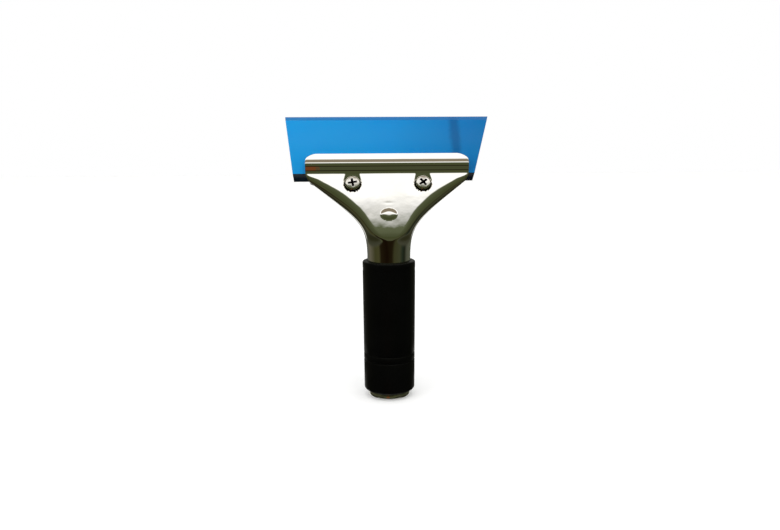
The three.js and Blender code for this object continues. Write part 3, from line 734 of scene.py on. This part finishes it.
def thread(pitch=0.8, turns=22):
    bpy.ops.object.select_all(action="DESELECT")
    bpy.ops.mesh.primitive_plane_add(size=MM, location=(0, 0, 0))
    ridge = bpy.context.object
    in_edit_mode(ridge)
    bpy.ops.mesh.merge(type="CENTER")
    bpy.ops.transform.translate(value=(2.0 * MM, 0, -18.2 * MM))
    for step in ((0.35, 0.3), (0.05, 0.1), (-0.4, 0.4)):
        bpy.ops.mesh.extrude_region_move(
            TRANSFORM_OT_translate={"value": (step[0] * MM, 0, step[1] * MM)})
    bpy.ops.object.mode_set(mode="OBJECT")
    apply_modifier(ridge, "SCREW", screw_offset=pitch * MM, iterations=turns, steps=24,
                   render_steps=24, use_merge_vertices=True, merge_threshold=1e-6)
    smooth(ridge, 40)
    return ridge


screw, ridge = pan_head_screw(), thread()
only(screw)
ridge.select_set(True)
bpy.ops.object.join()
bpy.ops.object.transform_apply(location=True, rotation=True, scale=True)
# The screw was made pointing up; its head looks out of the front of the plate.
TO_PLATE = (Matrix.Translation((0, SCREW_HEAD_FOOT * MM, 0))
            @ Matrix.Rotation(math.radians(90), 4, "X"))
for side, x, turn in (("left", -SCREW_X, 10), ("right", SCREW_X, 37)):
    copy = screw.copy()
    copy.data = screw.data.copy()
    copy.name = f"screw_{side}"
    bpy.context.scene.collection.objects.link(copy)
    copy.data.transform(Matrix.Rotation(math.radians(turn), 4, "Z"))
    copy.data.transform(HEAD @ Matrix.Translation((x * MM, 0, SCREW_S * MM)) @ TO_PLATE)
    finish_piece(copy, f"clamp_screw_{side}", f"screw_{side}", zinc)
bpy.data.objects.remove(screw)

# %% One nut, made once and copied
bpy.ops.object.select_all(action="DESELECT")
FLATS, NUT_HEIGHT = 8, 4  # across the flats, and along the screw
bpy.ops.mesh.primitive_cylinder_add(vertices=6, radius=FLATS / math.sqrt(3) * MM,
                                    depth=NUT_HEIGHT * MM)
nut = bpy.context.object
chamfer = [(0, -2), (4.05, -2), (4.65, -1.66), (4.65, 1.66), (4.05, 2), (0, 2)]
cut_by(nut, turned("chamfer", chamfer, 72), "INTERSECT")
bore = [(0, -2.2), (3.1, -2.2), (2.5, -1.6), (2.5, 1.6), (3.1, 2.2), (0, 2.2)]
cut_by(nut, turned("bore", bore, 48))
smooth(nut, 30)
for side, x in (("left", -SCREW_X), ("right", SCREW_X)):
    copy = nut.copy()
    copy.data = nut.data.copy()
    copy.name = f"nut_{side}"
    bpy.context.scene.collection.objects.link(copy)
    copy.data.transform(HEAD @ Matrix.Translation((x * MM, NUT_MIDDLE * MM, SCREW_S * MM))
                        @ Matrix.Rotation(math.radians(90), 4, "X"))
    finish_piece(copy, f"clamp_nut_{side}", "clamp", zinc)
bpy.data.objects.remove(nut)

# %% [markdown]
# ## Sleeve and plug
# The sleeve is a moulded rubber tube, slightly wider at the top, with a soft lip and two fine
# rings near its foot. The plug closes the tube below it with a rounded chrome rim.

# %% The sleeve
def sleeve_radius(z):
    return 15.2 + 0.45 * (z - 3.8) / 78.7


def ring_groove(z, depth=0.5, half=0.6):
    return [(sleeve_radius(z) - depth * (1 - (t / half) ** 2) ** 2, z + t)
            for t in np.linspace(-half, half, 9)]


outside = arc(12.85 + 0.35, 3.8 + 0.35, 0.35, 180, 270, 4) + arc(13.5, 5.5, 1.7, -90, -2, 9)
outside += [(sleeve_radius(12), 12)] + ring_groove(22.7) + ring_groove(26.8)
outside += [(sleeve_radius(z), z) for z in (34, 46, 58, 70)]
outside += [(sleeve_radius(76.2) - 0.02, 76.2), (sleeve_radius(77) - 0.12, 77), (15.5, 77.9)]
outside += [(15.61, 78.8), (15.63, 80.6)]
outside += arc(14.63, 81.5, 1.0, 10, 90, 8) + arc(13.25, 82.1, 0.4, 90, 180, 4)
sleeve = turned("rubber_sleeve", outside + [outside[0]], 128)
smooth(sleeve, 50)
finish_piece(sleeve, "grip_sleeve", "handle", rubber)

# %% The plug
rim = [(0, 0.12), (9.6, 0.12), (10.0, 0)] + arc(11.2, 1.3, 1.3, -90, 0, 9)
rim += arc(12.2, 2.5, 0.3, 0, 90, 5)
plug = turned("end_plug_turning", rim + [(11.3, 2.8), (11.3, 13), (10.3, 14), (0, 14)], 96)
smooth(plug, 32)
finish_piece(plug, "end_plug", "handle", chrome)

# %% [markdown]
# ## Floor, light and camera
# Chrome has no colour of its own: it shows the room. So the studio is built as chrome is lit
# for a catalogue: white card above and in front, grey and dark cards low down and at the sides.
# The cards are painted on the world, so that no edge of a card can get in the way of the camera.

# %% Floor
bpy.ops.object.select_all(action="DESELECT")
bpy.ops.mesh.primitive_plane_add(size=6, location=(0, 0, -0.0002))
floor = bpy.context.object
floor.name = "floor"
floor.visible_glossy = False
floor.visible_diffuse = False
paper = bpy.data.materials.new("matt white paper")
paper.use_nodes = True
sheet_of_paper = paper.node_tree.nodes["Principled BSDF"]
sheet_of_paper.inputs["Roughness"].default_value = 0.9
sheet_of_paper.inputs["Emission Color"].default_value = [1, 1, 1, 1]
sheet_of_paper.inputs["Emission Strength"].default_value = 0.22
fibre = add(paper.node_tree, "TexNoise", {"Scale": 900.0})
tone = colour_ramp(paper.node_tree, fibre.outputs[0], [(0.3, "#f6f6f5"), (0.7, "#fbfbfa")])
paper.node_tree.links.new(tone, sheet_of_paper.inputs["Base Color"])
floor.data.materials.append(paper)

# %% The studio that the chrome reflects
world = bpy.data.worlds.new("studio")
bpy.context.scene.world = world
world.use_nodes = True
sky = world.node_tree
sky.nodes.clear()
direction = add(sky, "SeparateXYZ", {0: add(sky, "TexCoord").outputs["Generated"]})
forward = add(sky, "Math", {0: direction.outputs[1], 1: -1.0}, operation="MULTIPLY")
pitch = add(sky, "Math", {0: direction.outputs[2], 1: forward.outputs[0]}, operation="ARCTAN2")
turn = add(sky, "Math", {0: direction.outputs[0], 1: forward.outputs[0]}, operation="ARCTAN2")
to_unit = {"From Min": -math.pi, "From Max": math.pi}
pitch_unit = add(sky, "MapRange", {"Value": pitch.outputs[0], **to_unit})
turn_unit = add(sky, "MapRange", {"Value": turn.outputs[0], **to_unit})


def degrees(*stops):
    return [((angle + 180) / 360, colour) for angle, colour in stops]


WHITE_CARD = [1.12, 1.11, 1.08, 1]
# From the front over the top to the back, in degrees above the front.
cards_over = colour_ramp(sky, pitch_unit.outputs[0], degrees(
    (-180, "#b4b4ae"), (-150, "#dadad4"), (-138, "#55574e"), (-130, "#0c1014"), (-117, "#0c1014"),
    (-110, "#d0d0ca"), (-94, "#d8d8d2"), (-80, "#22231a"), (-32, "#20221a"), (-25, "#43462f"),
    (10, "#45482f"), (30, "#3f4429"), (54, "#4d5239"), (59.7, "#5c6248"), (60.25, "#3c3d2c"),
    (60.6, WHITE_CARD), (66.5, WHITE_CARD), (68.5, "#8a7f6c"), (91, "#857a68"),
    (95, WHITE_CARD), (118, WHITE_CARD),
    (124, "#77776e"), (150, "#9b9b94"), (180, "#b4b4ae")))
# Round the horizon, in degrees from the front towards +X.
cards_round = colour_ramp(sky, turn_unit.outputs[0], degrees(
    (-180, "#20201a"), (-155, "#5a5c55"), (-120, "#5f5b4c"), (-80, "#3c3c22"), (-56, "#403f25"),
    (-44, "#1d160a"), (-10, "#140b04"), (14, "#1e180b"), (26, "#363620"), (56, "#3a3c28"),
    (74, "#222a1f"), (88, "#1b1f13"), (108, "#4a4c3f"), (140, "#555849"), (158, "#44483c"),
    (180, "#20201a")))
# The ring of cards reaches from 1 degree above to 16 degrees below the horizon.
height = add(sky, "Math", {0: direction.outputs[2], 1: 0.13}, operation="ADD")
off_ring = add(sky, "Math", {0: height.outputs[0]}, operation="ABSOLUTE")
low = add(sky, "MapRange", {"Value": off_ring.outputs[0], "From Min": 0.10, "From Max": 0.15,
                            "To Min": 1.0, "To Max": 0.0}, interpolation_type="SMOOTHSTEP")
aside = add(sky, "Math", {0: direction.outputs[0]}, operation="ABSOLUTE")
beside = add(sky, "MapRange", {"Value": aside.outputs[0], "From Min": 0.5, "From Max": 0.62},
             interpolation_type="SMOOTHSTEP")
# Cards at the sides, from the lowest direction to the highest.
low_to_high = add(sky, "MapRange", {"Value": direction.outputs[2], "From Min": -1.0}).outputs[0]
cards_beside = colour_ramp(sky, low_to_high, [
    (0.0, "#15160e"), (0.30, "#2c2c1b"), (0.42, "#4a4b3e"), (0.47, "#46463b"),
    (0.50, "#241f12"), (0.54, "#33331f"), (0.66, "#43472f"), (1.0, "#3f442f")])
sided = add(sky, "Mix", {0: beside.outputs[0], 6: cards_over, 7: cards_beside}, data_type="RGBA")
# A small warm card low on the left. It lies where all four of these ranges hold.
warm_edges = [(direction, -0.050, -0.056), (pitch, -0.12, -0.2), (direction, -0.34, -0.26),
              (pitch, -0.75, -0.65)]
warm = 1.0
for source, start, end in warm_edges:
    inside = add(sky, "MapRange", {"Value": source.outputs[0], "From Min": start, "From Max": end})
    warm = add(sky, "Math", {0: warm, 1: inside.outputs[0]}, operation="MULTIPLY").outputs[0]
sided = add(sky, "Mix", {0: warm, 6: sided.outputs[2], 7: linear("#6a3d20")}, data_type="RGBA")
cards = add(sky, "Mix", {0: low.outputs[0], 6: sided.outputs[2], 7: cards_round}, data_type="RGBA")
# What lights matt surfaces: a plain white tent, dimmer below the horizon.
tent = colour_ramp(sky, low_to_high, [
    (0, [0.01, 0.01, 0.01, 1]), (0.47, [0.02, 0.02, 0.02, 1]), (0.55, [0.8, 0.8, 0.8, 1]),
    (1, [1, 1, 1, 1])])
# Towards the back of the head it is nearly white.
to_back = add(sky, "VectorMath", {0: add(sky, "TexCoord").outputs["Generated"],
                                  1: (0, math.cos(LEAN), -math.sin(LEAN))}, operation="DOT_PRODUCT")
behind = add(sky, "MapRange", {"Value": to_back.outputs["Value"], "From Min": 0.62,
                               "To Max": 0.95})
tent = add(sky, "Mix", {0: behind.outputs[0], 6: tent, 7: [1, 1, 1, 1]}, data_type="RGBA")
rays = add(sky, "LightPath")
lit = add(sky, "Mix", {0: rays.outputs["Is Diffuse Ray"], 6: cards.outputs[2],
                       7: tent.outputs[2]}, data_type="RGBA")
shown = add(sky, "Mix", {0: rays.outputs["Is Camera Ray"], 6: lit.outputs[2], 7: [1, 1, 1, 1]},
            data_type="RGBA")
ground = add(sky, "Background", {0: shown.outputs[2], 1: 1.0})
sky.links.new(ground.outputs[0], add(sky, "OutputWorld").inputs[0])

# %% Soft lamps, which the chrome doesn't see
def soft_lamp(name, place, size, watts):
    lamp = bpy.data.lights.new(name, "AREA")
    lamp.size, lamp.energy = size, watts
    holder = bpy.data.objects.new(name, lamp)
    bpy.context.scene.collection.objects.link(holder)
    holder.location = place
    aim = Vector((0, 0, 0.09)) - Vector(place)
    holder.rotation_euler = aim.to_track_quat("-Z", "Y").to_euler()
    holder.visible_glossy = False


soft_lamp("softbox above", (0.1, -0.25, 0.9), 0.7, 1.5)
soft_lamp("softbox left", (-0.7, -0.5, 0.4), 0.5, 1.2)

# %% Camera
camera_data = bpy.data.cameras.new("camera")
camera_data.lens, camera_data.sensor_width = 32.31, 36
camera = bpy.data.objects.new("camera", camera_data)
bpy.context.scene.collection.objects.link(camera)
roll = math.radians(0.31)
right, up = Vector((0.99878, -0.04937, 0)), Vector((0.008514, 0.17224, 0.98502))
away = Vector((0.04863, 0.98382, -0.17245))
axes = Matrix((right * math.cos(roll) - up * math.sin(roll),
               right * math.sin(roll) + up * math.cos(roll), -away)).transposed()
camera.matrix_world = Matrix.Translation((-0.01954, -0.40897, 0.15122)) @ axes.to_4x4()
bpy.context.scene.camera = camera
bpy.context.scene.view_settings.view_transform = "Standard"
